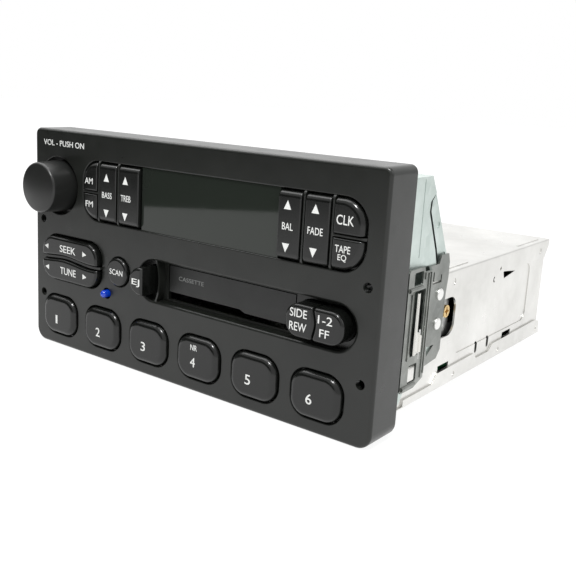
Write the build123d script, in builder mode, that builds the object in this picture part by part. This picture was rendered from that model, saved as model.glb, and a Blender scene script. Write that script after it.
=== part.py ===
from build123d import *
from math import cos, radians, sin
import os

# Car radio with a cassette deck: a tall moulded faceplate on a low sheet-metal chassis.
# X runs across the front, Y from front to rear and Z up. The origin lies under the middle of
# the whole radio, level with the lower edge of the faceplate. All sizes are millimetres.
# A "depth" is a distance behind the front plane of the faceplate, negative in front of it.
# A span of four numbers is always low, high, low, high along the sketch's two axes.

# Overall
KNOB_TIP = -13.2
STUD_END = 198.0
FRONT = -(KNOB_TIP + STUD_END) / 2
SHEET = 0.8

# Faceplate
FACE_WIDTH = 190.0
FACE_HEIGHT = 103.0
FACE_DEPTH = 18.5
FACE_WALL = 2.4
FACE_SKIN = 2.5
TOP_CORNER = 3.0
BOTTOM_CORNER = 6.0
RIM_RADIUS = 1.4
OPENING_RADIUS = 0.5
WELL_EDGE = 1.2
TOOL_HOLE_X = 89.2
TOOL_HOLES_Z = (24.5, 60.4)
TOOL_HOLE_RADIUS = 1.9

# Openings in the faceplate
UPPER = (-61.0, 87.3, 64.2, 91.2)
UPPER_RADIUS = 10.0
RIB = 1.0
RIB_FRONT = -0.9
RIB_EDGE = 0.35
RIB_X = (-49.65, -37.25, 60.65, 73.25)
ROW_SPLIT = 77.1
CLUSTER = (-87.5, -48.0, 32.5, 54.2)
CLUSTER_RADIUS = 8.0
CLUSTER_X = (CLUSTER[0] + CLUSTER[1]) / 2
WAVE = ((-90.0, 43.0), (-80.0, 43.6), (-72.0, 44.2), (-58.0, 43.0), (-46.0, 43.4))
WELL = (-24.5, 85.6, 34.6, 52.2)
WELL_RADIUS = 8.7
WELL_FLOOR = 4.4
WELL_WALL = 2.0
ARC_CENTRE = (-34.2, 43.4)
ARC_RADIUS = 21.8
ARC_WIDTH = 0.8
SLOT = (-10.4, 56.6, 35.6, 51.0)
KNOB_X = -78.4
KNOB_Z = 77.15
KNOB_WELL_RADIUS = 13.3
KNOB_WELL_FLOOR = 4.0
KNOB_CUP_WALL = 1.0
SCAN = (-36.8, 43.5)
SCAN_RADIUS = 6.4
LAMP = (-44.5, 32.2)
LAMP_RADIUS = 1.7
LAMP_HOLE = 2.6
LAMP_TIP = -3.4

# Keys
GAP = 0.3
END_GAP = 0.4
CAP_ROOM = 0.3
LIP_MARGIN = 0.5
FLANGE_DEPTH = 3.6
FLANGE = 0.8
STEM = 3.0
ROCKER_STEM = 2.4
STEM_END = 8.0
UPPER_KEY_FRONT = -1.5
EDGE = 0.7
PILLOW = 2.4
PRESET_COUNT = 6
PRESET_X = -76.4
PRESET_PITCH = 29.45
PRESET_Z = 15.2
PRESET_SIZE = (23.4, 19.0)
PRESET_RADIUS = 7.4
PRESET_FRONT = -2.0
PRESET_EDGE = 2.6
CLUSTER_FRONT = -3.0
CLUSTER_EDGE = 1.3
SCAN_FRONT = -1.8
ROCKER_REACH = 9.0
SEEK_REACH = 14.5
PIVOT_DEPTH = 6.6
PIVOT_RADIUS = 0.6
PIVOT_FIT = 0.05
PIVOT_BOSS = 1.4
BOSS_LENGTH = 6.0
PIN_LENGTH = 10.0
EJECT_CENTRE = (-17.25, 43.65)
EJECT_RADIUS = 6.05
EJECT_RIGHT = -15.6
EJECT_FRONT = -7.2
DECK_KEYS = (57.8, 83.4, 37.5, 50.2)
DECK_KEY_RADIUS = 5.6
DECK_KEY_FRONT = -5.0
DECK_SPLIT = ((70.0, 34.0), (70.0, 38.0), (71.1, 43.8), (70.0, 49.5), (70.0, 54.0))
SPLIT_CORNER = 1.0
DECK_FLANGE_DEPTH = 6.9
DECK_STEM_END = 22.0

# Knob and volume control
KNOB_FRONT_RADIUS = 11.4
KNOB_BASE_RADIUS = 11.9
KNOB_DOME = (10.2, 1.1)
KNOB_BACK = 2.3
SHAFT_RADIUS = 3.0
SHAFT_FIT = 0.05
SHAFT_FRONT = -7.0
SHAFT_END = 17.0
PLUNGER_RADIUS = 2.0
PLUNGER_END = 22.4
BUSHING_RADIUS = 3.5
BUSHING_FRONT = 6.0
POT_HALF = 8.0
POT_END = 21.0

# Layers behind the faceplate
GUIDE_DEPTH = 5.6
GUIDE_THICK = 2.0
GUIDE_SPAN = (-83.0, 83.0, 4.6, 99.4)
BOARD_DEPTH = 11.0
BOARD_THICK = 1.6
SWITCH_SIZE = 6.0
SWITCH_HEIGHT = 1.6
SWITCH_TIP = 0.3
SWITCH_TIP_RADIUS = 1.5
FRAME_DEPTH = 14.5
SPACERS = ((-80, 28.6), (-6, 28.6), (70, 28.6), (-70, 58.6), (-35, 58.6), (-55, 96), (20, 96), (78, 96))
SPACER_RADIUS = 2.0
SCREW_RADIUS = 1.2
POST_X = 85.8
POSTS_Z = (28.5, 58.5, 97.0)
POST_RADIUS = 2.2
DECK_WINDOW = (-27.6, 83.0, 32.2, 55.4)
DISPLAY = (-23.9, 49.1, 64.2, 91.2)
LENS_FRONT = 0.6
LENS_BACK = 3.4
PANEL_SPAN = (-20.0, 45.2, 66.0, 89.6)
PANEL_FRONT = 5.0

# Chassis shell
HALF = 88.8
INNER = HALF - SHEET
SHELL_BOTTOM = 5.0
SHELL_TOP = 56.0
SHELL_FRONT = 36.0
SHELL_END = 186.0
PLATE_FRONT = 30.0
PLATE_END = 182.0
BAND_TOP_Z = 47.6
FRAME_Z = (8.0, 97.0)
WING_FOLD = 34.5
WING_CREASE = 38.0
DIMPLES = (72.8, 174.0)
DIMPLE_Z = 51.0
BOTTOM_DIMPLES = (81.0, 130.4, 180.5)
BOTTOM_DIMPLE_Z = 8.3
BOTTOM_BAND = ((WING_FOLD + 1, SHELL_BOTTOM), (WING_FOLD + 1, 8.5), (60.8, 8.6), (65.4, 12.4), (101.4, 12.8),
               (104.8, 9.9), (119.0, 9.9), (123.4, 12.8), (179.0, 13.4), (184.6, 12.0), (186.0, SHELL_BOTTOM))
WING_EDGE = ((55.4, 56.2), (51.3, 67.4), (43.4, 83.0), (43.8, 87.2))
WING_GAP = 3.0
BAND_FRONT = 44.4
BACK_SLOPE = ((45.4, 96.2), (68.3, 56.0))
PRESSED = 0.35

# Side clips
CLIP_OUT = 92.4
CLIP_Z = (15.5, 64.6)
LATCH_PIVOT = (92.8, 36.0)
LATCH_PIN_RADIUS = 0.5
LATCH_Z = (29.8, 54.2)
LATCH_PIN = (26.8, 38.8)
RIVET_DEPTH = 57.4
RIVETS_Z = (36.0, 48.4)

CLIP_PLAN = ((CLIP_OUT, 23.0), (CLIP_OUT + SHEET, 23.0), (CLIP_OUT + SHEET, 41.4), (HALF + SHEET, 47.6),
             (HALF + SHEET, 64.4), (HALF, 64.4), (HALF, 47.2), (CLIP_OUT, 41.0))
CLIP_SIDE = ((23.0, 16.5), (24.0, 15.5), (34.0, 15.5), (44.0, 19.0), (60.0, 20.6), (63.0, 24.0),
             (62.8, 36.0), (63.4, 48.0), (64.4, 54.0), (64.4, 61.0), (63.0, 64.6), (56.5, 64.6),
             (55.0, 61.4), (36.0, 61.4), (35.0, 63.6), (24.0, 63.6), (23.0, 62.6))
GUIDE_LOOPS = ((54.9, 56.7), (16.2, 18.1))
CLIP_RIDGE = 0.4
CLIP_RIDGES = ((36.2, 58.6, 61.2), (38.9, 18.6, 60.8), (40.8, 20.0, 60.8), (26.6, 28.0, 54.0))

# Cassette deck
CASSETTE = (-8.8, 55.0)
DOOR_DEPTH = 4.4
DOOR_THICK = 1.4
DOOR_PIVOT = (6.5, 51.3)
DOOR_PIN_RADIUS = 0.6
DECK_Z = 28.2
DECK_SIDE = (-13.2, 63.0)
DECK_END = 150.0
CARRIER_Z = 36.4
CARRIER_SPAN = (-10.2, 56.8, 20.5, 112.0)
REEL_X = 25.7
REEL_DEPTHS = (40.0, 82.5)
REEL_TOP = 36.0
CAPSTAN_X = 47.0
CAPSTAN_DEPTHS = (33.0, 92.0)
CAPSTAN_RADIUS = 1.0
FLYWHEEL_RADIUS = 14.0
FLYWHEEL_Z = (19.5, 24.5)
MOTOR = (40.0, 135.0)
MOTOR_RADIUS = 12.0
MOTOR_TOP = 50.0
PULLEY_RADIUS = 4.0
BELT_CLEAR = 0.3
BELT_THICK = 1.0
BELT_Z = (20.6, 23.4)
HEAD_X = 59.2
HEAD_DEPTH = 61.0

# Boards, rear panel and sockets
MAIN_Z = 9.0
BOARD_TOP = MAIN_Z + BOARD_THICK
MAIN_SPAN = (-84.0, 84.0, 17.4, 178.0)
REAR_DEPTH = PLATE_END
STUD = (5.0, 44.0)
STUD_RADIUS = 4.0
ANTENNA = (66.0, 40.0)
ANTENNA_BORE = 4.75
ANTENNA_OUTER = 6.5
ANTENNA_END = 194.0
ANTENNA_LENGTH = 16.0
SINK = (-84.0, -16.0, 9.0, 53.0)
SINK_BACK = REAR_DEPTH + 1
SINK_BASE = 4.0
SINK_SCREWS = ((-79.5, 13.0), (-20.2, 13.0), (-79.5, 49.0), (-20.2, 49.0))
SINK_SCREW_RADIUS = 1.5
FIN_COUNT = 12
FIN = 2.0
SOCKETS = ((14.0, 38.0, 12.0, 24.0), (42.0, 78.0, 12.0, 24.0))
SOCKET_PINS = (4, 8)
SOCKET_FRONT = 173.0
SOCKET_FLOOR = 180.0
SOCKET_END = 194.0
BRACKET_X = 84.4
BRACKET_SCREW = (72.4, 37.8)
BRACKET_SPAN = (66.0, 77.0, 30.0, 43.0)
BRACKET_FOOT = (66.0, 82.5, 26.5, 31.0)


def face_at(depth):
    """Plane parallel to the front: sketch x is X, sketch y is Z, and it faces forward."""
    return Plane(origin=(0, FRONT + depth, 0), x_dir=(1, 0, 0), z_dir=(0, -1, 0))


def plan_at(height):
    """Level plane: sketch x is X, sketch y is the depth, and it faces up."""
    return Plane(origin=(0, FRONT, height), x_dir=(1, 0, 0), z_dir=(0, 0, 1))


def side_at(x):
    """Upright plane across X: sketch x is the depth, sketch y is Z, and it faces +X."""
    return Plane(origin=(x, FRONT, 0), x_dir=(0, 1, 0), z_dir=(1, 0, 0))


def span(low_x, high_x, low_y, high_y, radius=0.0, mode=Mode.ADD):
    """Rectangle between four limits, with rounded corners where a radius is given."""
    with Locations(((low_x + high_x) / 2, (low_y + high_y) / 2)):
        if radius:
            RectangleRounded(high_x - low_x, high_y - low_y, radius, mode=mode)
        else:
            Rectangle(high_x - low_x, high_y - low_y, mode=mode)


def slab(plane, limits, amount, radius=0.0, mode=Mode.ADD):
    """Plate on a plane between four limits."""
    with BuildSketch(plane) as plate_outline:
        span(*limits, radius=radius)
    extrude(plate_outline.sketch, amount=amount, mode=mode)


def rods(plane, centres, radius, amount, mode=Mode.ADD):
    """Equal round bars or holes on a plane."""
    with BuildSketch(plane) as circles:
        with Locations(*centres):
            Circle(radius)
    extrude(circles.sketch, amount=amount, mode=mode)


def grown(limits, margin):
    """Four limits moved outward by one margin."""
    return (limits[0] - margin, limits[1] + margin, limits[2] - margin, limits[3] + margin)


def polygon(points):
    """Filled outline through corner points."""
    with BuildLine() as border:
        Polyline(*points, close=True)
    make_face(border.edges())


def keep(builder, label):
    """Name a finished piece and write it."""
    builder.part.label = label
    export_step(builder.part, f"parts/{label}.step")


def upper_cells():
    """The cells of the upper opening, by key, as limits between the ribs and the window."""
    edges = [x + side * RIB / 2 for x in RIB_X for side in (-1, 1)]
    edges = [UPPER[0]] + edges[:4] + [DISPLAY[0], DISPLAY[1]] + edges[4:] + [UPPER[1]]
    columns = [(edges[i], edges[i + 1]) for i in range(0, len(edges), 2)]
    low = (UPPER[2], ROW_SPLIT - RIB / 2)
    high = (ROW_SPLIT + RIB / 2, UPPER[3])
    full = (UPPER[2], UPPER[3])
    return {
        "button_am": columns[0] + high,
        "button_fm": columns[0] + low,
        "rocker_bass": columns[1] + full,
        "rocker_treble": columns[2] + full,
        "rocker_balance": columns[3] + full,
        "rocker_fade": columns[4] + full,
        "button_clock": columns[5] + high,
        "button_tape": columns[5] + low,
    }


def centre(limits):
    return ((limits[0] + limits[1]) / 2, (limits[2] + limits[3]) / 2)


UPPER_CELLS = upper_cells()
UPPER_ROCKERS = [name for name in UPPER_CELLS if name.startswith("rocker")]
UPPER_BUTTONS = [name for name in UPPER_CELLS if name.startswith("button")]
PRESETS = [(PRESET_X + PRESET_PITCH * i, PRESET_Z) for i in range(PRESET_COUNT)]
HALF_KEYS = {
    "rocker_seek": (CLUSTER_X, (WAVE[1][1] + CLUSTER[3]) / 2 + RIB / 2, 1),
    "rocker_tune": (CLUSTER_X, (WAVE[1][1] + CLUSTER[2]) / 2 - RIB / 2, -1),
}
BUTTON_STEMS = PRESETS + [centre(UPPER_CELLS[name]) for name in UPPER_BUTTONS] + [SCAN]
TALL_PIVOTS = [centre(UPPER_CELLS[name]) for name in UPPER_ROCKERS]
WIDE_PIVOTS = [key[:2] for key in HALF_KEYS.values()]
ROCKER_STEMS = [(x, z + side * ROCKER_REACH) for x, z in TALL_PIVOTS for side in (-1, 1)]
ROCKER_STEMS += [(x + side * SEEK_REACH, z) for x, z in WIDE_PIVOTS for side in (-1, 1)]


def roomy(margin):
    """A cap, whose margin is negative, stands further off the frame of its opening than a flange."""
    return margin - CAP_ROOM if margin < 0 else margin


def preset_outline(place, margin):
    """Opening for one preset key, grown by the margin."""
    margin = roomy(margin)
    half_x = PRESET_SIZE[0] / 2 + GAP + margin
    half_z = PRESET_SIZE[1] / 2 + GAP + margin
    span(place[0] - half_x, place[0] + half_x, place[1] - half_z, place[1] + half_z,
         PRESET_RADIUS + GAP + margin)


def wave_band(offset, side):
    """Area above (side 1) or below (side -1) the wavy line, moved up by the offset."""
    far = FACE_HEIGHT if side > 0 else 0
    with BuildLine() as border:
        Spline(*[(x, z + offset) for x, z in WAVE])
        Line((WAVE[-1][0], WAVE[-1][1] + offset), (WAVE[-1][0], far))
        Line((WAVE[-1][0], far), (WAVE[0][0], far))
        Line((WAVE[0][0], far), (WAVE[0][0], WAVE[0][1] + offset))
    make_face(border.edges())


def deck_key_band(offset, side):
    """Area right (side 1) or left (side -1) of the curved split between the deck keys."""
    far = FACE_WIDTH / 2 if side > 0 else SLOT[1]
    with BuildLine() as border:
        Spline(*[(x + offset, z) for x, z in DECK_SPLIT])
        Line((DECK_SPLIT[-1][0] + offset, DECK_SPLIT[-1][1]), (far, DECK_SPLIT[-1][1]))
        Line((far, DECK_SPLIT[-1][1]), (far, DECK_SPLIT[0][1]))
        Line((far, DECK_SPLIT[0][1]), (DECK_SPLIT[0][0] + offset, DECK_SPLIT[0][1]))
    make_face(border.edges())


def eject_outline(margin):
    """D shape, round on the left and straight on the right."""
    with Locations(EJECT_CENTRE):
        Circle(EJECT_RADIUS + margin)
    span(EJECT_CENTRE[0], EJECT_RIGHT + margin,
         EJECT_CENTRE[1] - EJECT_RADIUS - margin, EJECT_CENTRE[1] + EJECT_RADIUS + margin)
    span(EJECT_RIGHT + margin, EJECT_RIGHT + 2 * EJECT_RADIUS, *WELL[2:], mode=Mode.SUBTRACT)


def upper_outline(name, margin):
    """One cell of the upper opening, clipped by the rounded ends of the whole opening."""
    border = roomy(margin)
    span(*grown(UPPER_CELLS[name], margin))
    span(*grown(UPPER, border), radius=UPPER_RADIUS + border, mode=Mode.INTERSECT)
    span(*grown(DISPLAY, GAP), mode=Mode.SUBTRACT)


def half_key_outline(side, margin):
    """Upper or lower half of the two-key opening, cut along the wavy rib."""
    border = roomy(margin)
    wave_band(side * (RIB / 2 - margin), side)
    span(*grown(CLUSTER, border), radius=CLUSTER_RADIUS + border, mode=Mode.INTERSECT)
    corners = vertices().sort_by(Axis.Y)
    fillet(corners[:2] if side > 0 else corners[-2:], SPLIT_CORNER)


def deck_key_outline(side, margin):
    """Left or right deck key, cut along the curved split."""
    deck_key_band(side * GAP / 2, side)
    span(*grown(DECK_KEYS, margin), radius=DECK_KEY_RADIUS + margin, mode=Mode.INTERSECT)
    corners = vertices().sort_by(Axis.X)
    fillet(corners[:2] if side > 0 else corners[-2:], SPLIT_CORNER)


# Ribs between the upper keys, with rounded fronts that roll off at the frame of the opening
with BuildPart() as ribs:
    with BuildSketch(plan_at(UPPER[2] - RIB / 2)) as rib_plan:
        for x in RIB_X:
            span(x - RIB / 2, x + RIB / 2, RIB_FRONT, FACE_SKIN)
        fillet(rib_plan.vertices().group_by(Axis.Y)[0], RIB_EDGE)
    extrude(amount=UPPER[3] - UPPER[2] + RIB)
    for start, stop in ((UPPER[0] - RIB / 2, RIB_X[0]), (RIB_X[-1], UPPER[1] + RIB / 2)):
        with BuildSketch(side_at(start)) as cross_rib:
            span(RIB_FRONT, FACE_SKIN, ROW_SPLIT - RIB / 2, ROW_SPLIT + RIB / 2)
            fillet(cross_rib.vertices().group_by(Axis.X)[0], RIB_EDGE)
        extrude(amount=stop - start)
    with BuildSketch(side_at(UPPER[0] - RIB)) as roll_side:
        span(RIB_FRONT, FACE_SKIN, UPPER[2] - RIB / 2, UPPER[3] + RIB / 2)
        fillet(roll_side.vertices().group_by(Axis.X)[0], PILLOW)
    extrude(amount=UPPER[1] - UPPER[0] + 2 * RIB, mode=Mode.INTERSECT)
    with BuildSketch(plan_at(UPPER[2] - RIB)) as roll_plan:
        span(UPPER[0] - RIB / 2, UPPER[1] + RIB / 2, RIB_FRONT, FACE_SKIN)
        fillet(roll_plan.vertices().group_by(Axis.Y)[0], PILLOW)
    extrude(amount=UPPER[3] - UPPER[2] + 2 * RIB, mode=Mode.INTERSECT)

# Faceplate: a shell open at the rear, with cups behind the knob well and the cassette well,
# spacers for the boards, corner posts for the sheet frame, and ears for the door pin.
with BuildPart() as faceplate:
    with BuildSketch(face_at(0)) as face_outline:
        span(-FACE_WIDTH / 2, FACE_WIDTH / 2, 0, FACE_HEIGHT)
        fillet(face_outline.vertices().group_by(Axis.Y)[-1], TOP_CORNER)
        fillet(face_outline.vertices().group_by(Axis.Y)[0], BOTTOM_CORNER)
    extrude(amount=-FACE_DEPTH)
    fillet(faceplate.faces().sort_by(Axis.Y)[0].edges(), RIM_RADIUS)
    slab(face_at(FACE_SKIN), (-FACE_WIDTH / 2 + FACE_WALL, FACE_WIDTH / 2 - FACE_WALL,
                              FACE_WALL, FACE_HEIGHT - FACE_WALL),
         -FACE_DEPTH, radius=BOTTOM_CORNER - FACE_WALL, mode=Mode.SUBTRACT)
    rods(face_at(FACE_SKIN), [(KNOB_X, KNOB_Z)], KNOB_WELL_RADIUS + KNOB_CUP_WALL,
         -(KNOB_WELL_FLOOR + KNOB_CUP_WALL - FACE_SKIN))
    slab(face_at(FACE_SKIN), grown(WELL, WELL_WALL), -(WELL_FLOOR + WELL_WALL - FACE_SKIN),
         radius=WELL_RADIUS + WELL_WALL)
    rods(face_at(FACE_SKIN), SPACERS, SPACER_RADIUS, -(GUIDE_DEPTH - FACE_SKIN))
    rods(face_at(FACE_SKIN), [(side * POST_X, z) for side in (-1, 1) for z in POSTS_Z],
         POST_RADIUS, -(FRAME_DEPTH - FACE_SKIN))
    for ear in ((SLOT[0] - 2.6, SLOT[0] - 0.5), (SLOT[1] + 0.5, SLOT[1] + 2.6)):
        slab(face_at(WELL_FLOOR), ear + (DOOR_PIVOT[1] - 1.5, DOOR_PIVOT[1] + 1.7), -3.8)
    # Recesses and openings
    rods(face_at(0), [(KNOB_X, KNOB_Z)], KNOB_WELL_RADIUS, -KNOB_WELL_FLOOR, Mode.SUBTRACT)
    rods(face_at(0), [(KNOB_X, KNOB_Z)], BUSHING_RADIUS + GAP, -FACE_DEPTH, Mode.SUBTRACT)
    slab(face_at(0), UPPER, -FACE_SKIN, radius=UPPER_RADIUS, mode=Mode.SUBTRACT)
    slab(face_at(0), CLUSTER, -FACE_SKIN, radius=CLUSTER_RADIUS, mode=Mode.SUBTRACT)
    rods(face_at(0), [SCAN], SCAN_RADIUS + GAP, -FACE_SKIN, Mode.SUBTRACT)
    with BuildSketch(face_at(0)):
        for place in PRESETS:
            preset_outline(place, 0)
    extrude(amount=-FACE_SKIN, mode=Mode.SUBTRACT)
    front_face = faceplate.faces().filter_by(Axis.Y).sort_by(Axis.Y)[0]
    fillet(front_face.inner_wires().edges(), OPENING_RADIUS)
    slab(face_at(0), WELL, -WELL_FLOOR, radius=WELL_RADIUS, mode=Mode.SUBTRACT)
    front_face = faceplate.faces().filter_by(Axis.Y).sort_by(Axis.Y)[0]
    well_centre = (centre(WELL)[0], FRONT, centre(WELL)[1])
    fillet(front_face.inner_wires().sort_by_distance(well_centre)[0].edges(), WELL_EDGE)
    rods(face_at(0), [(side * TOOL_HOLE_X, z) for side in (-1, 1) for z in TOOL_HOLES_Z],
         TOOL_HOLE_RADIUS, -FACE_SKIN, Mode.SUBTRACT)
    rods(face_at(0), [LAMP], LAMP_HOLE, -FACE_SKIN, Mode.SUBTRACT)
    # Ribs between the keys
    add(ribs.part)
    with BuildSketch(face_at(CLUSTER_FRONT / 2)):
        wave_band(-RIB / 2, 1)
        wave_upper = [(x, z + RIB / 2) for x, z in WAVE]
        with BuildLine():
            Spline(*wave_upper)
            Polyline(wave_upper[-1], (WAVE[-1][0], FACE_HEIGHT), (WAVE[0][0], FACE_HEIGHT), wave_upper[0])
        make_face(mode=Mode.SUBTRACT)
        span(*grown(CLUSTER, RIB / 2), radius=CLUSTER_RADIUS + RIB / 2, mode=Mode.INTERSECT)
    extrude(amount=-(FACE_SKIN - CLUSTER_FRONT / 2))
    # Curved rib beside the eject key
    with BuildSketch(face_at(0.4)):
        with Locations(ARC_CENTRE):
            Circle(ARC_RADIUS + ARC_WIDTH / 2)
            Circle(ARC_RADIUS - ARC_WIDTH / 2, mode=Mode.SUBTRACT)
        span(ARC_CENTRE[0], SLOT[0], WELL[2] - RIB / 2, WELL[3] + RIB / 2, mode=Mode.INTERSECT)
    extrude(amount=-(WELL_FLOOR - 0.4))
    # Holes through the floor of the well
    slab(face_at(0), SLOT, -FACE_DEPTH, mode=Mode.SUBTRACT)
    with BuildSketch(face_at(0)):
        eject_outline(GAP)
    extrude(amount=-FACE_DEPTH, mode=Mode.SUBTRACT)
    slab(face_at(0), grown(DECK_KEYS, GAP), -FACE_DEPTH, radius=DECK_KEY_RADIUS + GAP, mode=Mode.SUBTRACT)
    # Door knuckle reliefs and the hole for the door pin
    for knuckle in ((SLOT[0], SLOT[0] + 5), (SLOT[1] - 5, SLOT[1])):
        slab(face_at(5.0), knuckle + (SLOT[3] - 1, DOOR_PIVOT[1] + 1.6), -FACE_DEPTH, mode=Mode.SUBTRACT)
    rods(side_at(SLOT[0] - 4), [DOOR_PIVOT], DOOR_PIN_RADIUS, SLOT[1] - SLOT[0] + 8, Mode.SUBTRACT)
    # Screw holes in the spacers and posts
    rods(face_at(FACE_SKIN), SPACERS, SCREW_RADIUS, -FACE_DEPTH, Mode.SUBTRACT)
    rods(face_at(FACE_SKIN + 2), [(side * POST_X, z) for side in (-1, 1) for z in POSTS_Z],
         SCREW_RADIUS, -FACE_DEPTH, Mode.SUBTRACT)
os.makedirs("parts", exist_ok=True)
keep(faceplate, "faceplate")


def round_front(key, edge):
    """Round a cap's front edges by one radius, or by two: (beside a rib, beside the opening's frame)."""
    front_edges = key.faces().filter_by(Axis.Y).sort_by(Axis.Y)[0].edges()
    if edge != EDGE:
        fillet(front_edges, edge)
        return
    fillet(front_edges.filter_by(lambda line: frame_distance(line) < UPPER_RADIUS / 2), PILLOW)
    front_edges = key.faces().filter_by(Axis.Y).sort_by(Axis.Y)[0].edges().filter_by(GeomType.LINE)
    fillet(front_edges.filter_by(lambda line: frame_distance(line) >= UPPER_RADIUS / 2), EDGE)


def frame_distance(line):
    """How far the middle of an edge is from the frame of the upper opening."""
    middle = line.center()
    return min(middle.X - UPPER[0], UPPER[1] - middle.X, middle.Z - UPPER[2], UPPER[3] - middle.Z)


def slide_key(label, outline, front, edge, stem_at):
    """Key that moves straight in: cap, retaining flange and square stem."""
    with BuildPart() as key:
        with BuildSketch(face_at(front)):
            outline(-GAP)
        extrude(amount=-(FLANGE_DEPTH - front))
        round_front(key, edge)
        with BuildSketch(face_at(FLANGE_DEPTH)):
            outline(LIP_MARGIN - GAP)
        extrude(amount=-FLANGE)
        x, z = stem_at
        slab(face_at(FLANGE_DEPTH), (x - STEM / 2, x + STEM / 2, z - STEM / 2, z + STEM / 2),
             -(STEM_END - FLANGE_DEPTH))
    keep(key, label)


def rocker_key(label, outline, front, edge, pivot, tall):
    """Key that tips about a pin behind its middle, with a stem at each end."""
    x, z = pivot
    reach = ROCKER_REACH if tall else SEEK_REACH
    with BuildPart() as key:
        with BuildSketch(face_at(front)):
            outline(-END_GAP)
        extrude(amount=-(FLANGE_DEPTH - front))
        round_front(key, edge)
        with BuildSketch(face_at(FLANGE_DEPTH)):
            outline(LIP_MARGIN - END_GAP)
        extrude(amount=-FLANGE)
        for side in (-1, 1):
            stem_x = x if tall else x + side * reach
            stem_z = z + side * reach if tall else z
            slab(face_at(FLANGE_DEPTH), (stem_x - ROCKER_STEM / 2, stem_x + ROCKER_STEM / 2,
                                         stem_z - ROCKER_STEM / 2, stem_z + ROCKER_STEM / 2),
                 -(STEM_END - FLANGE_DEPTH))
        boss_half = BOSS_LENGTH / 2
        if tall:
            web = (x - boss_half, x + boss_half, z - PIVOT_BOSS, z + PIVOT_BOSS)
            pin_plane = side_at(x - boss_half)
            pin_centre = (PIVOT_DEPTH, z)
        else:
            web = (x - PIVOT_BOSS, x + PIVOT_BOSS, z - boss_half, z + boss_half)
            pin_plane = plan_at(z - boss_half)
            pin_centre = (x, PIVOT_DEPTH)
        slab(face_at(FLANGE_DEPTH), web, -(PIVOT_DEPTH - FLANGE_DEPTH))
        rods(pin_plane, [pin_centre], PIVOT_BOSS, BOSS_LENGTH)
        rods(pin_plane, [pin_centre], PIVOT_RADIUS + PIVOT_FIT, BOSS_LENGTH, Mode.SUBTRACT)
    keep(key, label)


def deck_key(label, outline, front, stem_at):
    """Long-travel key of the cassette deck, with a pusher that reaches back to the deck."""
    with BuildPart() as key:
        with BuildSketch(face_at(front)):
            outline(0)
        extrude(amount=-(DECK_FLANGE_DEPTH - front))
        fillet(key.faces().filter_by(Axis.Y).sort_by(Axis.Y)[0].edges(), CLUSTER_EDGE)
        with BuildSketch(face_at(DECK_FLANGE_DEPTH)):
            outline(LIP_MARGIN)
        extrude(amount=-FLANGE)
        x, z = stem_at
        slab(face_at(DECK_FLANGE_DEPTH), (x - STEM / 2, x + STEM / 2, z - STEM, z + STEM),
             -(DECK_STEM_END - DECK_FLANGE_DEPTH))
    keep(key, label)


for name in UPPER_BUTTONS:
    slide_key(name, lambda margin, cell=name: upper_outline(cell, margin),
              UPPER_KEY_FRONT, EDGE, centre(UPPER_CELLS[name]))

for name in UPPER_ROCKERS:
    rocker_key(name, lambda margin, cell=name: upper_outline(cell, margin),
               UPPER_KEY_FRONT, EDGE, centre(UPPER_CELLS[name]), True)

for name, (x, z, side) in HALF_KEYS.items():
    rocker_key(name, lambda margin, half=side: half_key_outline(half, margin),
               CLUSTER_FRONT, CLUSTER_EDGE, (x, z), False)


def round_outline(margin):
    with Locations(SCAN):
        Circle(SCAN_RADIUS + GAP + margin)


slide_key("button_scan", round_outline, SCAN_FRONT, CLUSTER_EDGE, SCAN)

for i, place in enumerate(PRESETS):
    slide_key(f"preset_{i + 1}", lambda margin, at=place: preset_outline(at, margin),
              PRESET_FRONT, PRESET_EDGE, place)

deck_key("button_eject", eject_outline, EJECT_FRONT, (EJECT_CENTRE[0] - 1.5, EJECT_CENTRE[1]))
for label, side, stem_x in (("button_rewind", -1, 66.5), ("button_fast_forward", 1, 77.0)):
    deck_key(label, lambda margin, half=side: deck_key_outline(half, margin),
             DECK_KEY_FRONT, (stem_x, centre(DECK_KEYS)[1]))


# Display lens and the display tube behind it
with BuildPart() as display_window:
    slab(face_at(LENS_FRONT), grown(DISPLAY, -0.1), -(LENS_BACK - LENS_FRONT))
    for z in (DISPLAY[2] - 0.8, DISPLAY[3]):
        slab(face_at(FACE_SKIN), (DISPLAY[0] + 2, DISPLAY[1] - 2, z, z + 0.8), -(LENS_BACK - FACE_SKIN))
        slab(face_at(FACE_SKIN), (DISPLAY[0] + 2, DISPLAY[1] - 2, z - 0.2, z + 1.0), -(LENS_BACK - FACE_SKIN))
keep(display_window, "display_window")

with BuildPart() as display_panel:
    slab(face_at(PANEL_FRONT), PANEL_SPAN, -(BOARD_DEPTH - PANEL_FRONT), radius=1.0)
    fillet(display_panel.faces().sort_by(Axis.Y)[0].edges(), 0.5)
keep(display_panel, "display_panel")

with BuildPart() as indicator_lens:
    with BuildSketch(Plane(origin=(LAMP[0], FRONT, LAMP[1]), x_dir=(1, 0, 0), z_dir=(0, 0, 1))):
        with BuildLine():
            Polyline((0, LAMP_TIP), (0, BOARD_DEPTH), (LAMP_RADIUS + 0.6, BOARD_DEPTH),
                     (LAMP_RADIUS + 0.6, BOARD_DEPTH - 2), (LAMP_RADIUS, BOARD_DEPTH - 2),
                     (LAMP_RADIUS, LAMP_TIP + LAMP_RADIUS))
            RadiusArc((LAMP_RADIUS, LAMP_TIP + LAMP_RADIUS), (0, LAMP_TIP), LAMP_RADIUS)
        make_face()
    revolve(axis=Axis((LAMP[0], FRONT, LAMP[1]), (0, 1, 0)))
keep(indicator_lens, "indicator_lens")

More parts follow.
